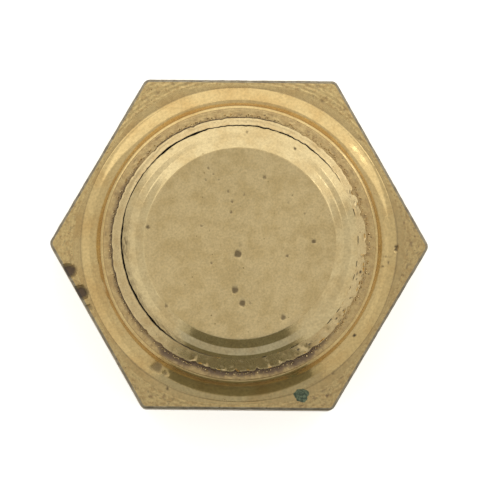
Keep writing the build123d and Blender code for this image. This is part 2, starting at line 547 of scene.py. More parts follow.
inner_lap = lap_radius - lap_half
for share in np.linspace(0.08, 1, 12):
    radius = ledge_radius + share * (inner_lap - ledge_radius)
    height = head_height(radius) - 0.03 * share**8 * lap_open + 0.006 * share * waviness(23, 8, 60)
    stain = lap_stain * speckled(share, 90) * smooth(share, -0.7, 0.6)
    height, grime = dent(radius, height, stain, face_dents)
    insert_shell.ring(radius, height, TURNED, grime)
depth = LAP_DEPTH * lap_open
# Dirt and painted shade: the lap's faces darken as it opens.
lap_dirt_and_shade = smooth(lap_open, 0.1, 0.5)
for place, share in ((-0.75, 0.5), (-0.4, 1.0), (0.4, 1.0), (0.75, 0.5)):
    radius = lap_radius + place * lap_half
    insert_shell.ring(radius, head_height(radius) - share * depth, LIP, lap_dirt_and_shade)
print(f"with the cone and the lap: {len(insert_shell.rings)} rings, the lap up to {depth.max():.2f} deep")

# %% [markdown]
# Outside the lap the lip bulges a little, then turns over the washer, darkening with dirt and painted shade
# as it turns down. Where it is broken, flakes are missing from its top. The rings go on under the lip, down
# the shank and round the flange inside the nut, and end in the shallow dish that faces the pipe.

# %% Lip, rim and underside
LIP_ROUNDING = 0.08
LIP_THICKNESS = 0.1
UNDERCUT = 0.12
outer_lap = lap_radius + lap_half
lip_end = np.maximum(rim_radius - LIP_ROUNDING, outer_lap + 0.06)
for share in np.linspace(0, 1, 11):
    radius = outer_lap + share * (lip_end - outer_lap)
    rise = 0.05 * sin(pi * min(share * 1.2, 1)) * lap_open + 0.01 * share * waviness(29, 20, 100)
    rise = rise - 0.09 * share * broken * smooth(waviness(30 + int(3 * share), 25, 90), 0.25, 0.5)
    speck = 0.5 * smooth(waviness(31 + int(10 * share), 40, 130), 0.6, 0.8)
    speck = speck + 0.9 * broken * smooth(waviness(34 + int(5 * share), 30, 120), 0.45, 0.7) * (share > 0.3)
    insert_shell.ring(radius, head_height(radius) + rise, LIP, speck + 0.9 * lap_dirt_and_shade * (share == 0))
# Painted shade with dirt: the rim darkens as it turns down towards the washer.
for tilt in np.linspace(pi / 8, pi / 2, 4):
    radius = lip_end + (rim_radius - lip_end) * sin(tilt)
    height = head_height(lip_end) - LIP_THICKNESS * (1 - cos(tilt)) + 0.012 * waviness(29, 20, 100)
    insert_shell.ring(radius, height, LIP, rim_dirt_and_shade * smooth(tilt, 0.7, 1.5))
under = washer_high.z
tucked = rim_radius - UNDERCUT
flange_bevel = gasket_radius - flange_edge
lip_foot = (rim_radius, head_height(lip_end) - LIP_THICKNESS)
insert_shell.run(lip_foot, (tucked, under + 0.03), 3, LIP, rim_dirt_and_shade)
insert_shell.run((tucked, under), (shank_radius, under), 3, LIP, 0.8)
insert_shell.run((shank_radius, under), (shank_radius, flange_top), 6, TURNED)
insert_shell.run((shank_radius, flange_top), (flange_bevel, flange_top), 3, TURNED)
insert_shell.run((flange_bevel, flange_top), (gasket_radius, flange_top - flange_edge), 2, TURNED)
insert_shell.run((gasket_radius, flange_top - flange_edge), (gasket_radius, insert_low.z), 5, TURNED)
insert_shell.run((gasket_radius, insert_low.z), (gasket_hole_radius, insert_low.z), 4, TURNED)
insert_shell.run((gasket_hole_radius, insert_low.z), (dish_radius, dish_height), 3, TURNED)
insert_shell.run((dish_radius, dish_height), (0.3, dish_height), 24, TURNED)
insert_finishes = [dull_face, pale_turned_brass, rolled_lip]
insert = shell_object("blanking_insert_detailed", insert_shell, insert_finishes, False)
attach(insert, "insert")
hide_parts("blanking_insert")

# %% [markdown]
# ## The hexagon nut
# The nut starts as a forged or drawn hexagon bar. The lathe cuts its neck, the round cove at the neck's foot
# and a narrow land beyond it, and leaves the forged skin on the corners. The same rings make all of that:
# inside they are circles, and towards the flats each one blends into a hexagon with rounded corners. Going
# on down the flats, over the rim and up the socket to the swivel hole brings the last ring back to the
# first, so the shell is closed.

# %% Hexagon outline
def hexagon_radius(inset=0.0):
    """For each angle, the distance from the axis to the rounded hexagon, drawn in by the inset."""
    flat = half_flats - inset
    rounding = max(corner_radius - inset, 0.1)
    from_flat = turn % (pi / 3) - pi / 6
    corner_way = (flat - rounding) / cos(radians(30))
    from_corner = np.abs(from_flat) - pi / 6
    straight = flat / np.cos(from_flat)
    inner = np.maximum(rounding**2 - (corner_way * np.sin(from_corner)) ** 2, 0)
    round_part = corner_way * np.cos(from_corner) + np.sqrt(inner)
    on_corner = np.abs(from_flat) > np.arctan2((flat - rounding) * tan(radians(30)), flat)
    return np.where(on_corner, round_part, straight)


def skin_bumps(radius, size, seed):
    """Smooth unevenness of a forged surface at each angle, about -1 to 1, for bumps of a size in mm."""
    points = np.stack([radius * np.cos(turn) / size, radius * np.sin(turn) / size], axis=-1)
    return np.array([noise.fractal(Vector((x, y, seed)), 0.8, 2.1, 4) for x, y in points])


hexagon = hexagon_radius()
print(f"hexagon radius from {hexagon.min():.3f} to {hexagon.max():.3f}")

# %% [markdown]
# The nut has its own marks: two large chips and some small ones in its edge, a gouge beside a corner, a
# stain and a few pits. Each is a hollow sunk into the rings, dark where dirt has settled, in the place where
# the real one has it.

# %% Marks of the nut
nut_dents = [
    (11.93, -0.02, 0.2, 0.1, 0.85), (11.9, -0.28, 0.17, 0.1, 0.8), (11.33, -1.25, 0.12, 0.04, 0.8),
    (10.9, -1.53, 0.11, 0.04, 0.7), (8.8, -6.79, 0.15, 0.06, 0.95), (7.22, -9.7, 0.13, 0.04, 0.7),
    (6.73, -11.4, 0.16, 0.05, 0.8), (-5.35, -10.97, 0.18, 0.05, 0.85), (-6.1, -9.35, 0.5, 0.03, 0.6),
    (-5.5, -9.8, 0.2, 0.04, 0.5), (-1.0, -11.75, 0.14, 0.03, 0.5), (3.1, 11.6, 0.22, 0.03, 0.3),
    (7.9, 10.35, 0.14, 0.04, 0.5), (-5.15, 7.7, 0.1, 0.04, 0.6), (-3.9, 9.1, 0.1, 0.03, 0.5),
    (11.0, -0.78, 0.07, 0.03, 0.5), (11.15, -0.78, 0.08, 0.03, 0.55), (11.3, -0.77, 0.07, 0.03, 0.5),
    (11.45, -0.77, 0.08, 0.03, 0.5), (11.6, -0.76, 0.08, 0.03, 0.45), (12.4, -2.2, 0.16, 0.04, 0.5),
    (12.2, -2.5, 0.14, 0.04, 0.5), (6.2, 10.9, 0.2, 0.05, 0.5), (5.5, 11.3, 0.16, 0.04, 0.4),
    (9.1, 8.1, 0.2, 0.05, 0.55), (-6.3, 11.4, 0.16, 0.04, 0.35), (-10.7, 5.6, 0.12, 0.03, 0.4),
]
edge_chips = [
    (-12.85, -2.1, 0.62, 0.42, 0.95), (-11.95, -3.75, 0.66, 0.46, 0.95), (-11.3, -4.9, 0.3, 0.15, 0.4),
    (-9.7, 8.05, 0.2, 0.12, 0.5), (11.0, -5.95, 0.16, 0.1, 0.4), (-12.2, 3.7, 0.18, 0.1, 0.6),
]


def top_ring(shell, radius, height, finish, bumps=0.0, grime=0.0):
    """A ring of the nut's closed end, with its dents and chips."""
    height, dirt = dent(radius, height + bumps + 0.0 * turn, grime + 0.0 * turn, nut_dents)
    height, dirt = dent(radius, height, dirt, edge_chips)
    shell.ring(radius, height, finish, dirt)


print(len(nut_dents), "dents and", len(edge_chips), "chips")

# %% [markdown]
# The neck's top carries the washer. Its edge was pressed when the head was rolled, so it stands out as a
# small bead before the cove begins. The cove is an arc that stops a few degrees before it is level, as the
# tool's nose leaves it, and its foot is painted a little darker: painted shade in the corner by the neck.

# %% Neck and cove
NECK, SKIN, FLATS, SOCKET, OXIDE = 0, 1, 2, 3, 4
BEAD = 0.03
BEAD_ROUNDING = 0.2
COVE_END = radians(9.2)
nut_shell = Shell()
nut_shell.run((neck_hole_radius, neck_top), (washer_radius - 0.1, neck_top), 3, NECK)
nut_shell.run((washer_radius - 0.1, neck_top), (neck_radius + BEAD - BEAD_ROUNDING, neck_top), 3, NECK, 0.15)
for out, down in ((0.06, 0.01), (0.42, 0.2), (0.78, 0.42), (0.92, 0.6), (0.98, 0.8), (1, 1)):
    radius = neck_radius + BEAD - BEAD_ROUNDING * (1 - out) + 0.005 * waviness(41, 8, 90)
    nut_shell.ring(radius, neck_top - BEAD_ROUNDING * down, NECK)
cove_start = cove_radius * 0.89
cove_bend = cove_start / (1 - sin(COVE_END))
cove_centre = hex_height + cove_bend * cos(COVE_END)
for tilt in np.linspace(pi / 2, COVE_END, 32):
    radius = neck_radius + cove_bend * (1 - sin(tilt))
    # Painted shade: the cove's foot, in the corner by the neck, is darkened through the grime attribute.
    foot_shade = 0.14 * float(smooth(tilt, 0.8, 1.3))
    height = cove_centre - cove_bend * cos(tilt)
    top_ring(nut_shell, radius, height, NECK, 0.003 * waviness(43, 2, 9), foot_shade)
print(f"cove {cove_bend:.2f} in radius, {len(nut_shell.rings)} rings so far")

# %% [markdown]
# Beyond the cove the end slopes gently away. A turned land goes over into the forged skin, whose bumps come
# from a smooth noise in two sizes, with shallow grooves where the tool just touched it. One side is more
# stained.

# %% Land and forged skin
LAND_SUNK = 0.028
EDGE = 0.2
EDGE_WEAR = 0.02


def land_fall(outside):
    """How far the closed end has fallen at a distance outside the cove. It slopes gently to the corners."""
    return 0.09 * outside + 0.006 * outside**2


cove_rim = neck_radius + cove_start
skin_rim = hexagon_radius(EDGE)
corner_stain = 0.2 * arc_window(-75, 12, 14) + 0.12 * arc_window(222, 262, 12)
land_rim = np.minimum(cove_rim + 0.62 + 0.09 * waviness(45, 3, 20), cove_rim + 0.5 * (skin_rim - cove_rim))
for share, sunk in ((0.1, 0.018), (0.2, 0.035), (0.35, 0.028), (0.55, 0.024), (0.75, 0.024), (1, LAND_SUNK)):
    grime = (0.45 if share == 0.2 else 0.22) + 0.6 * corner_stain
    outside = share * (land_rim - cove_rim)
    top_ring(nut_shell, cove_rim + outside, hex_height - sunk - land_fall(outside), NECK, grime=grime)
for share in np.linspace(1 / 22, 1, 22):
    radius = land_rim + share * (skin_rim - land_rim)
    outside = radius - cove_rim
    rough = smooth(outside, 0.4, 1.1) * 0.018 * skin_bumps(radius, 0.7, 7.3)
    rough = rough + 0.016 * skin_bumps(radius, 0.22, 3.1)
    groove = 0.01 * np.sin(2 * pi * outside / 0.33) * smooth(outside, 0.3, 0.7)
    spots = 0.4 * smooth(skin_bumps(radius, 0.3, 2.1), 0.3, 0.6) * smooth(outside, 0.4, 0.9)
    bumps = (rough + groove) * smooth(share, 0, 0.15)
    height = hex_height - LAND_SUNK - land_fall(outside)
    top_ring(nut_shell, radius, height, SKIN, bumps, corner_stain + spots)
print(f"land out to {land_rim.max():.2f}, skin out to {skin_rim.max():.2f}")

# %% [markdown]
# A worn, oxidised edge rounds the end over into the flats. The flats carry the fine upright lines of the
# drawing die, and the chips bite into their top.

# %% Edge and flats
edge_rough = 0.018 * skin_bumps(hexagon, 0.6, 4.4)
edge_height = hex_height - 0.03 - land_fall(skin_rim - cove_rim)
for tilt in np.linspace(pi / 10, pi / 2, 5):
    radius = hexagon_radius(EDGE * (1 - sin(tilt))) + edge_rough * sin(tilt) - EDGE_WEAR * sin(tilt)
    top_ring(nut_shell, radius, edge_height - EDGE * (1 - cos(tilt)), OXIDE, edge_rough, 0.2 * sin(tilt))
bevel_radius = half_flats - rim_bevel
bevel_top = (hexagon - bevel_radius) * rim_bevel_slope
side_top = edge_height - EDGE
for share in np.linspace(1 / 24, 1, 24):
    height = side_top + share * (bevel_top - side_top)
    chipped, grime = dent(hexagon, height, 0.0 * turn, edge_chips)
    fade = max(1 - share * 8, 0)
    bitten = (height - chipped) * fade
    radius = hexagon + 0.006 * waviness(51, 30, 120) - EDGE_WEAR * (1 - share) - 0.3 * bitten
    nut_shell.ring(radius, height - bitten, FLATS, grime * fade)
print("with the edge and the flats:", len(nut_shell.rings), "rings")

# %% [markdown]
# The rim's bevel is a cone cut across the hexagon, so its upper edge rises and falls like a scallop. The
# socket's wall stands at the root of the thread here, and the thread's ridge is a piece of its own further
# on.

# %% Rim and socket
relief_bevel = 0.12
relief_start = gasket_low.z + relief_bevel
for share in np.linspace(1 / 6, 1, 6):
    radius = hexagon + share * (bevel_radius - hexagon)
    nut_shell.ring(radius, (radius - bevel_radius) * rim_bevel_slope, NECK)
nut_shell.run((bevel_radius, 0), (relief_radius, 0), 6, NECK)
nut_shell.run((relief_radius, 0), (thread_root_radius, thread_relief), 2, SOCKET)
nut_shell.run((thread_root_radius, thread_relief), (thread_root_radius, gasket_low.z), 10, SOCKET)
nut_shell.run((thread_root_radius, gasket_low.z), (relief_radius, relief_start), 2, SOCKET)
nut_shell.run((relief_radius, relief_start), (relief_radius, web_bottom), 5, SOCKET)
nut_shell.run((relief_radius, web_bottom), (neck_hole_radius, web_bottom), 6, SOCKET)
nut_shell.run((neck_hole_radius, web_bottom), (neck_hole_radius, neck_top), 8, SOCKET)
nut_finishes = [turned_brass, forged_skin, drawn_flats, cut_socket, edge_oxide]
nut = shell_object("hex_nut_detailed", nut_shell, nut_finishes, True)
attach(nut, "nut")
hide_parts("hex_nut")

# %% [markdown]
# ## The retaining washer
# The rolled edge holds this stamped washer down on the neck, and the pressure has bent its rim down a
# little. A plain ring would come from a swept section, but this one shows most where it is worst: streaked,
# scratched and thick with dirt beside the ragged edge, with a painted shadow line where the rim overhangs
# it, and painted darker towards the bottom as a painted reflection of the tent's dark opening. So it is
# made ring by ring too, with its bumps, dirt and painted shade set per ring.

# %% How the washer is soiled and shaded
WASHER_DROOP = 0.15
DIRT_REACH = 0.26
# Dirt and painted shadow: how strong the dark line beside the overhanging rim is, heavier in three arcs.
dirt_and_rim_shadow = 0.2 + 0.8 * np.maximum.reduce(
    [arc_window(78, 126, 12), arc_window(150, 218, 14), arc_window(246, 300, 14)]
)
reach = DIRT_REACH * (0.75 + 0.35 * waviness(71, 4, 30)) * (1 + 0.6 * arc_window(150, 310, 20))
# Painted reflection of the tent's dark opening: from 236 to 304 degrees the band reaches further and is
# darker. The rest is dirt, heaviest from 150 to 310 degrees.
reach = reach * (1 + 0.9 * arc_window(236, 304, 10))
bottom_shade_and_dirt = 0.1 + 0.45 * arc_window(150, 310, 20) + 0.3 * arc_window(236, 304, 10)
print(f"dirt reaches {reach.min():.2f} to {reach.max():.2f} mm out from the rim")

# %% Washer rings
WASHER_ROUNDING = 0.08
WASHER_EDGE = 0.1
HIDDEN_WIDTH = 0.3
washer_shell = Shell()
washer_hole = shank_radius + washer_hole_clearance
washer_shell.run((washer_hole, washer_high.z), (head_radius - 0.35, washer_high.z), 3, 0, 0.9)
washer_width = washer_radius - WASHER_ROUNDING - head_radius + HIDDEN_WIDTH
for share in np.linspace(0, 1, 30):
    radius = head_radius - HIDDEN_WIDTH + share * washer_width
    beyond = radius - rim_radius
    streaks = skin_bumps(radius, 0.22, 5.5)
    # Dirt, and in the bottom arc painted shade, fading out over the reach.
    mauve = bottom_shade_and_dirt * (1 - smooth(beyond, 0.35 * reach, reach * (1.25 + 0.5 * streaks)))
    # Painted shadow with dirt: a dark line right beside the rim's edge.
    black = dirt_and_rim_shadow * (1 - smooth(beyond, 0.0, 0.05 + 0.09 * dirt_and_rim_shadow + 0.06 * streaks))
    line = 0.35 * smooth(waviness(73 + int(6 * share), 20, 100), 0.35, 0.7)
    bumps = 0.014 * streaks + 0.008 * waviness(75 + int(12 * share), 30, 150) * (beyond > 0)
    droop = WASHER_DROOP * smooth(radius, head_radius - 0.1, washer_radius + 0.6) ** 0.7
    height = washer_high.z - 0.014 - droop
    # The washer's grime value: dirt, the painted darkening towards the bottom, the painted shadow line by the
    # rim, and scratch lines.
    dirt = np.maximum(np.maximum(mauve, black), line)
    washer_shell.ring(radius, height + np.minimum(bumps, 0.012), 0, dirt)
washer_top = height.mean()
for tilt in np.linspace(pi / 8, pi / 2, 4):
    radius = washer_radius - WASHER_ROUNDING * (1 - sin(tilt)) + 0.006 * waviness(77, 10, 60)
    washer_shell.ring(np.minimum(radius, washer_radius), washer_top - WASHER_EDGE * (1 - cos(tilt)), 0, 0.1)
washer_shell.run((washer_radius, washer_top - WASHER_EDGE), (washer_radius, washer_low.z), 4, 0, 0.2)
washer_shell.run((washer_radius, washer_low.z), (washer_hole, washer_low.z), 4, 0, 0.5)
washer_shell.run((washer_hole, washer_low.z), (washer_hole, washer_high.z), 3, 0, 0.7)
washer = shell_object("retaining_washer_detailed", washer_shell, [washer_tarnish], True)
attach(washer, "insert")
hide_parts("retaining_washer")

# %% [markdown]
# ## What Geometry Nodes grow
# The thread, the gasket and the crumbs along the rolled edge each follow a circle or a helix, so a node tree
# makes them. A tree gets named inputs for its sizes. Growing it hangs the tree on an empty mesh, sets the
# inputs, reads back the result as a plain mesh and drops the modifier and any empty material slot.

# %% Tree helpers
def new_tree(name, sizes):
    """An empty geometry tree with named inputs. It returns the tree and the node that holds the inputs."""
    tree = bpy.data.node_groups.new(name, "GeometryNodeTree")
    tree.interface.new_socket("Geometry", in_out="OUTPUT", socket_type="NodeSocketGeometry")
    for label, kind in sizes.items():
        tree.interface.new_socket(label, in_out="INPUT", socket_type=f"NodeSocket{kind}")
    return tree, tree.nodes.new("NodeGroupInput").outputs


def end_tree(tree, geometry, material):
    """The last nodes of every tree: real geometry instead of instances, smooth shading and a finish."""
    real = add(tree, "GeometryNodeRealizeInstances", {"Geometry": geometry})
    even = add(tree, "GeometryNodeSetShadeSmooth", {"Geometry": real})
    painted = add(tree, "GeometryNodeSetMaterial", {"Geometry": even, "Material": material})
    add(tree, "NodeGroupOutput", {"Geometry": painted})


def grow(name, tree, sizes, body):
    """Runs a tree with these sizes, in metres where they are lengths, and keeps what it makes as a mesh."""
    piece = bpy.data.objects.new(name, bpy.data.meshes.new(name))
    scene.collection.objects.link(piece)
    modifier = piece.modifiers.new(name, "NODES")
    modifier.node_group = tree
    for item in tree.interface.items_tree:
        if item.in_out == "INPUT":
            modifier[item.identifier] = sizes[item.name]
    view = bpy.context.evaluated_depsgraph_get()
    piece.data = bpy.data.meshes.new_from_object(piece.evaluated_get(view))
    piece.modifiers.clear()
    empty_slots = [i for i, finish in enumerate(piece.data.materials) if finish is None]
    for slot_number in reversed(empty_slots):
        piece.data.materials.pop(index=slot_number)
    piece.data.set_sharp_from_angle(angle=radians(40))
    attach(piece, body)
    reach = [Vector(corner).length / MM for corner in piece.bound_box]
    print(f"{name}: {len(piece.data.polygons)} faces, reaches {max(reach):.2f} mm from the origin")
    return piece


# %% [markdown]
# The pipe thread is a single V-shaped ridge that climbs the socket's wall like a spiral stair, three turns
# and a bit, right handed. It could be cut from the nut with a boolean, but a helix curve with the ridge's
# section swept along it is the rule that the thread really follows. The section's foot lies on the wall and
# its crest points at the axis, and it shrinks to nothing at both ends, as a tap leaves it.

# %% Thread tree
def thread_tree(material):
    """A ridge that climbs a bore. Its foot lies on the bore's wall, and it points at the axis."""
    tree, sizes = new_tree(
        "thread_ridge",
        {"Bore Radius": "Float", "Depth": "Float", "Pitch": "Float", "Turns": "Float", "Start": "Float",
         "Run Out": "Float", "Steps": "Int"},
    )
    climb = add(tree, "ShaderNodeMath", {0: sizes["Pitch"], 1: sizes["Turns"]}, operation="MULTIPLY")
    helix = add(
        tree, "GeometryNodeCurveSpiral",
        {"Resolution": sizes["Steps"], "Rotations": sizes["Turns"], "Start Radius": sizes["Bore Radius"],
         "End Radius": sizes["Bore Radius"], "Height": climb, "Reverse": True},
    )
    lift = add(tree, "ShaderNodeCombineXYZ", {"Z": sizes["Start"]})
    helix = add(tree, "GeometryNodeSetPosition", {"Geometry": helix, "Offset": lift})
    helix = add(tree, "GeometryNodeSetCurveNormal", {"Curve": helix}, mode="Z_UP")
    crest = add(tree, "ShaderNodeMath", {0: sizes["Pitch"], 1: 0.16}, operation="MULTIPLY")
    foot = add(tree, "ShaderNodeMath", {0: sizes["Pitch"], 1: 0.98}, operation="MULTIPLY")
    section = add(
        tree, "GeometryNodeCurvePrimitiveQuadrilateral",
        {"Bottom Width": foot, "Top Width": crest, "Height": sizes["Depth"], "Offset": 0.0},
        mode="TRAPEZOID",
    )
    inward = add(tree, "ShaderNodeMath", {0: sizes["Depth"], 1: -0.5}, operation="MULTIPLY")
    inward = add(tree, "ShaderNodeCombineXYZ", {"X": inward})
    section = add(
        tree, "GeometryNodeTransform",
        {"Geometry": section, "Translation": inward, "Rotation": (0.0, 0.0, pi / 2)},
    )
    along = add(tree, "GeometryNodeSplineParameter").outputs["Factor"]
    mirrored = add(tree, "ShaderNodeMath", {0: 1.0, 1: along}, operation="SUBTRACT")
    to_end = add(tree, "ShaderNodeMath", {0: along, 1: mirrored}, operation="MINIMUM")
    full = add(tree, "ShaderNodeMapRange", {"Value": to_end, "From Max": sizes["Run Out"], "To Min": 0.02})
    ridge = add(
        tree, "GeometryNodeCurveToMesh",
        {"Curve": helix, "Profile Curve": section, "Scale": full, "Fill Caps": True},
    )
    end_tree(tree, ridge, material)
    return tree


THREAD_SINK = 0.01
thread_height = gasket_low.z - thread_relief
turns = (thread_height - thread_pitch) / thread_pitch
thread = grow(
    "socket_thread", thread_tree(cut_socket),
    {"Bore Radius": (thread_root_radius + THREAD_SINK) * MM, "Depth": (thread_depth + THREAD_SINK) * MM,
     "Pitch": thread_pitch * MM, "Turns": turns, "Start": (thread_relief + thread_pitch / 2) * MM,
     "Run Out": 0.12, "Steps": 96},
    "nut",
)
crests = [Vector(v.co[:2]).length / MM for v in thread.data.vertices]
first, later = thread.data.vertices[0].co, thread.data.vertices[40].co
right_handed = (first.x * later.y - first.y * later.x) * (later.z - first.z) > 0
print(f"{turns:.2f} turns, radius {min(crests):.3f} to {max(crests):.3f}, right handed: {right_handed}")

# %% [markdown]
# The gasket is a flat ring with soft edges, punched out of sheet. Its tree is a rounded rectangle swept
# round a circle, then pushed in and out by a noise as deep as the sheet is uneven.

# %% Ring tree
def ring_tree(name, material):
    """A punched flat ring about the axis, a little uneven."""
    tree, sizes = new_tree(
        name,
        {"Outer Radius": "Float", "Hole Radius": "Float", "Bottom": "Float", "Top": "Float", "Edge": "Float",
         "Unevenness": "Float", "Bump Scale": "Float", "Round Steps": "Int", "Section Steps": "Int"},
    )
    outer, hole = sizes["Outer Radius"], sizes["Hole Radius"]
    width = add(tree, "ShaderNodeMath", {0: outer, 1: hole}, operation="SUBTRACT")
    height = add(tree, "ShaderNodeMath", {0: sizes["Top"], 1: sizes["Bottom"]}, operation="SUBTRACT")
    twice = add(tree, "ShaderNodeMath", {0: outer, 1: hole}, operation="ADD")
    middle = add(tree, "ShaderNodeMath", {0: twice, 1: 0.5}, operation="MULTIPLY")
    level = add(tree, "ShaderNodeMath", {0: height, 1: 0.5}, operation="MULTIPLY")
    level = add(tree, "ShaderNodeMath", {0: level, 1: sizes["Bottom"]}, operation="ADD")
    level = add(tree, "ShaderNodeCombineXYZ", {"Z": level})
    circle = add(
        tree, "GeometryNodeCurvePrimitiveCircle", {"Resolution": sizes["Round Steps"], "Radius": middle}
    )
    circle = add(tree, "GeometryNodeSetPosition", {"Geometry": circle, "Offset": level})
    section = add(
        tree, "GeometryNodeCurvePrimitiveQuadrilateral", {"Width": width, "Height": height}, mode="RECTANGLE"
    )
    section = add(
        tree, "GeometryNodeFilletCurve",
        {"Curve": section, "Count": 4, "Radius": sizes["Edge"], "Limit Radius": True}, mode="POLY",
    )
    section = add(tree, "GeometryNodeResampleCurve", {"Curve": section, "Count": sizes["Section Steps"]})
    ring = add(tree, "GeometryNodeCurveToMesh", {"Curve": circle, "Profile Curve": section})
    bumps = add(tree, "ShaderNodeTexNoise", {"Scale": sizes["Bump Scale"], "Detail": 3.0})
    push = add(tree, "ShaderNodeMath", {0: bumps, 1: 0.62}, operation="SUBTRACT")
    push = add(tree, "ShaderNodeMath", {0: push, 1: sizes["Unevenness"]}, operation="MULTIPLY")
    facing = add(tree, "GeometryNodeInputNormal")
    push = add(tree, "ShaderNodeVectorMath", {0: facing, "Scale": push}, operation="SCALE")
    ring = add(tree, "GeometryNodeSetPosition", {"Geometry": ring, "Offset": push})
    end_tree(tree, ring, material)
    return tree


# %% [markdown]
# The gasket is vulcanised fibre: paper pulp hardened with zinc chloride, dyed brick red and cut from sheet.
# It is dense and nearly matt, with fine flecks of pale and dark fibre, and its faces are a little uneven.
# The flecks are a noise stretched along one direction, as the pulp lay in the sheet.

# %% Fibre finish and gasket
def red_fibre():
    """Vulcanised fibre, with its pulp laid mostly along X."""
    material, tree, shader = blank_material("vulcanised_fibre")
    place = add(tree, "ShaderNodeTexCoord").outputs["Object"]
    laid = add(tree, "ShaderNodeMapping", {"Vector": place, "Scale": (0.25, 1.0, 1.0)})
    pulp = add(tree, "ShaderNodeTexNoise", {"Vector": laid, "Scale": per_mm(0.14), "Detail": 4.0})
    cloud = add(tree, "ShaderNodeTexNoise", {"Vector": place, "Scale": per_mm(1.6), "Detail": 3.0})
    mixed = add(tree, "ShaderNodeMapRange", {"Value": pulp, "From Min": 0.32, "From Max": 0.68})
    reds = {"Factor": mixed, "A": srgb("#6f2a20"), "B": srgb("#a2503b")}
    colour = add(tree, "ShaderNodeMix", reds, data_type="RGBA")
    soaked = add(
        tree, "ShaderNodeMapRange",
        {"Value": cloud, "From Min": 0.35, "From Max": 0.65, "To Min": 0.75, "To Max": 1.08},
    )
    colour = add(tree, "ShaderNodeVectorMath", {0: colour, "Scale": soaked}, operation="SCALE")
    bump = add(tree, "ShaderNodeBump", {"Height": pulp, "Distance": 0.012 * MM})
    rough = add(tree, "ShaderNodeMapRange", {"Value": cloud, "To Min": 0.5, "To Max": 0.8})
    feed(tree, colour, shader.inputs["Base Color"])
    feed(tree, rough, shader.inputs["Roughness"])
    feed(tree, bump, shader.inputs["Normal"])
    return material


gasket = grow(
    "sealing_gasket_detailed", ring_tree("punched_gasket", red_fibre()),
    {"Outer Radius": gasket_radius * MM, "Hole Radius": gasket_hole_radius * MM, "Bottom": gasket_low.z * MM,
     "Top": gasket_high.z * MM, "Edge": 0.12 * MM, "Unevenness": 0.05 * MM, "Bump Scale": per_mm(0.5),
     "Round Steps": 360, "Section Steps": 96},
    "insert",
)
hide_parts("sealing_gasket")

# %% [markdown]
# Where the brass was rolled down it shed crumbs, and some still cling to the washer along the ragged edge.
# They are a few hundred small lumps, so a tree scatters them: points round a circle, a coarse ball on each
# one, turned and stretched by a seeded random value, and pushed out of round by a noise.

# %% Crumb tree
def crumb_tree(material):
    """Crumbs along a circle, lying on a flat face."""
    tree, sizes = new_tree(
        "rolled_crumbs",
        {"Radius": "Float", "Spread": "Float", "Level": "Float", "Smallest": "Float", "Largest": "Float",
         "Count": "Int", "Seed": "Int"},
    )
    circle = add(tree, "GeometryNodeCurvePrimitiveCircle", {"Resolution": 256, "Radius": sizes["Radius"]})
    points = add(tree, "GeometryNodeCurveToPoints", {"Curve": circle, "Count": sizes["Count"]})
    back = add(tree, "ShaderNodeMath", {0: 0.0, 1: sizes["Spread"]}, operation="SUBTRACT")
    jitter = add(
        tree, "FunctionNodeRandomValue",
        {"Min": back, "Max": sizes["Spread"], "Seed": sizes["Seed"]}, data_type="FLOAT",
    )
    outward = points.outputs["Normal"]
    jitter = add(tree, "ShaderNodeVectorMath", {0: outward, "Scale": jitter}, operation="SCALE")
    lift = add(tree, "ShaderNodeCombineXYZ", {"Z": sizes["Level"]})
    offset = add(tree, "ShaderNodeVectorMath", {0: jitter, 1: lift}, operation="ADD")
    points = add(tree, "GeometryNodeSetPosition", {"Geometry": points, "Offset": offset})
    ball = add(tree, "GeometryNodeMeshIcoSphere", {"Radius": 1.0, "Subdivisions": 2})
    spin = add(
        tree, "FunctionNodeRandomValue", {"Max": (2 * pi, 2 * pi, 2 * pi), "Seed": sizes["Seed"]},
        data_type="FLOAT_VECTOR",
    )
    size = add(
        tree, "FunctionNodeRandomValue",
        {"Min": sizes["Smallest"], "Max": sizes["Largest"], "Seed": sizes["Seed"]}, data_type="FLOAT",
    )
    long_way = add(tree, "ShaderNodeMath", {0: size, 1: 1.8}, operation="MULTIPLY")
    stretch = add(tree, "ShaderNodeCombineXYZ", {"X": long_way, "Y": size, "Z": size})
    crumbs = add(
        tree, "GeometryNodeInstanceOnPoints",
        {"Points": points, "Instance": ball, "Rotation": spin, "Scale": stretch},
    )
    real = add(tree, "GeometryNodeRealizeInstances", {"Geometry": crumbs})
    lumps = add(tree, "ShaderNodeTexNoise", {"Scale": per_mm(0.06)})
    centred = add(
        tree, "ShaderNodeVectorMath", {0: lumps.outputs["Color"], 1: (0.5, 0.5, 0.5)}, operation="SUBTRACT"
    )
    knocked = add(tree, "ShaderNodeVectorMath", {0: centred, "Scale": 0.09 * MM}, operation="SCALE")
    lumpy = add(tree, "GeometryNodeSetPosition", {"Geometry": real, "Offset": knocked})
    end_tree(tree, lumpy, material)
    return tree


crumbs = grow(
    "rolled_edge_crumbs", crumb_tree(rolled_lip),
    {"Radius": (head_radius + 0.16) * MM, "Spread": 0.14 * MM, "Level": washer_high.z * MM,
     "Smallest": 0.015 * MM, "Largest": 0.055 * MM, "Count": 420, "Seed": 8},
    "insert",
)

# %% [markdown]
# ## Verdigris
# One green spot sits near the rim of the closed end: a crust of copper salts that grew where a drop of water
# stood. It is a thin lumpy blister, chalky and mottled, with no metal in its shine at all. It is made ring
# by ring like the shells, only about its own middle, and then moved to its place.

# %% Verdigris crust
CRUST_PLACE = (4.82, -11.33, hex_height - 0.05)
CRUST_RADIUS = 0.55


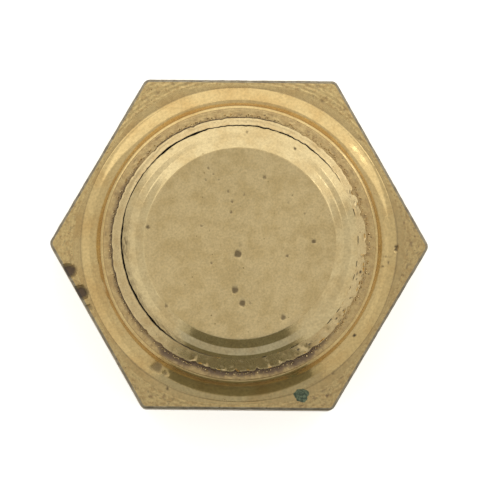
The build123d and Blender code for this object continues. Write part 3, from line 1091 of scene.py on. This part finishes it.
def verdigris():
    """Copper salts: chalky green with darker grains."""
    material, tree, shader = blank_material("verdigris")
    place = add(tree, "ShaderNodeTexCoord").outputs["Object"]
    grains = add(tree, "ShaderNodeTexNoise", {"Vector": place, "Scale": per_mm(0.16), "Detail": 4.0})
    spread = add(tree, "ShaderNodeMapRange", {"Value": grains, "From Min": 0.38, "From Max": 0.62})
    greens = {"Factor": spread, "A": srgb("#3b4537"), "B": srgb("#667259")}
    colour = add(tree, "ShaderNodeMix", greens, data_type="RGBA")
    bump = add(tree, "ShaderNodeBump", {"Height": grains, "Distance": 0.02 * MM})
    feed(tree, colour, shader.inputs["Base Color"])
    feed(tree, bump, shader.inputs["Normal"])
    shader.inputs["Roughness"].default_value = 0.85
    return material


crust_shell = Shell()
crust_rim = CRUST_RADIUS * (1 + 0.14 * waviness(61, 2, 5) + 0.07 * waviness(62, 6, 14))
for share in np.linspace(0.1, 1, 14):
    lumps = 0.02 * waviness(63 + int(3 * share), 2, 8)
    crust_shell.ring(crust_rim * share, 0.09 * (1 - share**3) + lumps * (share < 0.95) + 0.02, 0)
crust_shell.run((crust_rim, 0.02), (crust_rim * 0.9, -0.05), 2)
crust_shell.run((crust_rim * 0.9, -0.05), (0.05, -0.05), 3)
crust = shell_object("verdigris_crust", crust_shell, [verdigris()], False)
for vertex in crust.data.vertices:
    vertex.co += Vector(CRUST_PLACE) * MM
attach(crust, "nut")

# %% [markdown]
# ## Floor, light and camera
# Small bright metal is lit in a white tent: soft light comes from all sides, and the metal shows the tent,
# not the lamps. The tent's open front shows as a dark stretch in every slope that faces it, so three cards
# stand there: the dark opening, a lighter one that frames it, and a grey one that reaches up over both. The
# floor is a lit table, kept out of the metal's reflections.

# %% Floor and cards
def plain(name, colour, roughness, glow):
    """A plain even surface with a glow of its own."""
    material, tree, shader = blank_material(name)
    shader.inputs["Base Color"].default_value = srgb(colour)
    shader.inputs["Roughness"].default_value = roughness
    shader.inputs["Emission Color"].default_value = srgb(colour)
    shader.inputs["Emission Strength"].default_value = glow
    return material


def flat_sheet(name, corners, material):
    """A flat piece of the set, which isn't part of the object."""
    mesh = bpy.data.meshes.new(name)
    mesh.from_pydata(corners, [], [tuple(range(len(corners)))])
    mesh.materials.append(material)
    sheet = bpy.data.objects.new(name, mesh)
    scene.collection.objects.link(sheet)
    return sheet


FLOOR_SIDE = 3.0
FLOOR_LEVEL = -0.00002
floor = flat_sheet(
    "floor", [(x * FLOOR_SIDE, y * FLOOR_SIDE, FLOOR_LEVEL) for x, y in ((-1, -1), (1, -1), (1, 1), (-1, 1))],
    plain("pale_table", "#f4f4f2", 0.6, 0.55),
)
floor.visible_glossy = False


def card(name, distance, left_angle, right_angle, top_angle, colour):
    """An upright card at the front. From the object it reaches these angles to the left, right and up."""
    left, right, top = (distance * tan(radians(angle)) for angle in (left_angle, right_angle, top_angle))
    corners = [(x, -distance, z) for x, z in ((-left, -top), (right, -top), (right, top), (-left, top))]
    sheet = flat_sheet(name, corners, plain(name, colour, 0.9, 1.0))
    sheet.visible_camera = False
    sheet.visible_shadow = False
    sheet.visible_diffuse = False
    return sheet


cards = [
    card("tent_opening", 0.3, 29, 31, 43, "#4a493e"),
    card("tent_edge", 0.33, 35, 36, 45, "#7d7c76"),
    card("tent_front", 0.36, 34, 35, 77, "#787b7f"),
]
print("set pieces:", floor.name, [c.name for c in cards])

# %% [markdown]
# One broad wall lights the back, and two weak ones the sides. Two narrow lamps stand for gaps in the tent,
# and leave the thin glints in the turned slopes. The last lamp only lights what is diffuse, so it keeps the
# table pale without showing in the brass.

# %% Lamps
def lamp(name, azimuth, elevation, distance, width, height, brightness, in_metal=True):
    """A soft lamp aimed at the object. Brightness is its radiance, so its size doesn't change its look."""
    light = bpy.data.lights.new(name, "AREA")
    light.shape = "RECTANGLE"
    light.size, light.size_y = width, height
    light.energy = brightness * pi * width * height
    a, e = radians(azimuth), radians(elevation)
    way = Vector((cos(a) * cos(e), sin(a) * cos(e), sin(e)))
    holder = bpy.data.objects.new(name, light)
    holder.location = way * distance
    holder.rotation_euler = way.to_track_quat("Z", "Y").to_euler()
    holder.visible_camera = False
    holder.visible_glossy = in_metal
    scene.collection.objects.link(holder)


TENT_LIGHT = 0.6
world = bpy.data.worlds.new("tent")
scene.world = world
world.use_nodes = True
world.node_tree.nodes["Background"].inputs["Color"].default_value = srgb("#fffdf8")
world.node_tree.nodes["Background"].inputs["Strength"].default_value = TENT_LIGHT
lamp("back_wall", 84, 34.7, 0.5, 1.4, 0.68, 0.41)
lamp("left_wall", 180, 54, 0.6, 0.7, 0.45, 0.11)
lamp("right_wall", 350, 20, 0.6, 0.45, 0.3, 0.08)
lamp("gap_a", 35.6, 35, 0.6, 0.008, 0.2, 2.2)
lamp("gap_b", 40.9, 35, 0.6, 0.01, 0.2, 2.4)
lamp("table_light", 0, 90, 1.6, 1.6, 1.6, 0.9, in_metal=False)

# %% [markdown]
# The camera looks straight down at the closed end from far away through a long lens, so that the hexagon
# keeps its shape, with a hair of tilt and roll. The field is a little wider than the hexagon's corners.

# %% Camera
FIELD = 36.4 * MM
CAMERA_DISTANCE = 1.2
LEAN_X = radians(0.3)
LEAN_Y = radians(0.9)
ROLL = radians(0.55)
AIM = Vector((0.064, 0.368, hex_height)) * MM
eye = bpy.data.cameras.new("camera")
eye.lens = eye.sensor_width * CAMERA_DISTANCE / FIELD
camera = bpy.data.objects.new("camera", eye)
tilt = Euler((LEAN_Y, -LEAN_X, 0)).to_quaternion() @ Quaternion((0, 0, 1), ROLL)
camera.location = AIM + tilt @ Vector((0, 0, CAMERA_DISTANCE))
camera.rotation_euler = tilt.to_euler()
scene.collection.objects.link(camera)
scene.camera = camera
scene.view_settings.view_transform = "Standard"
print(f"lens {eye.lens:.0f} mm at {CAMERA_DISTANCE} m")
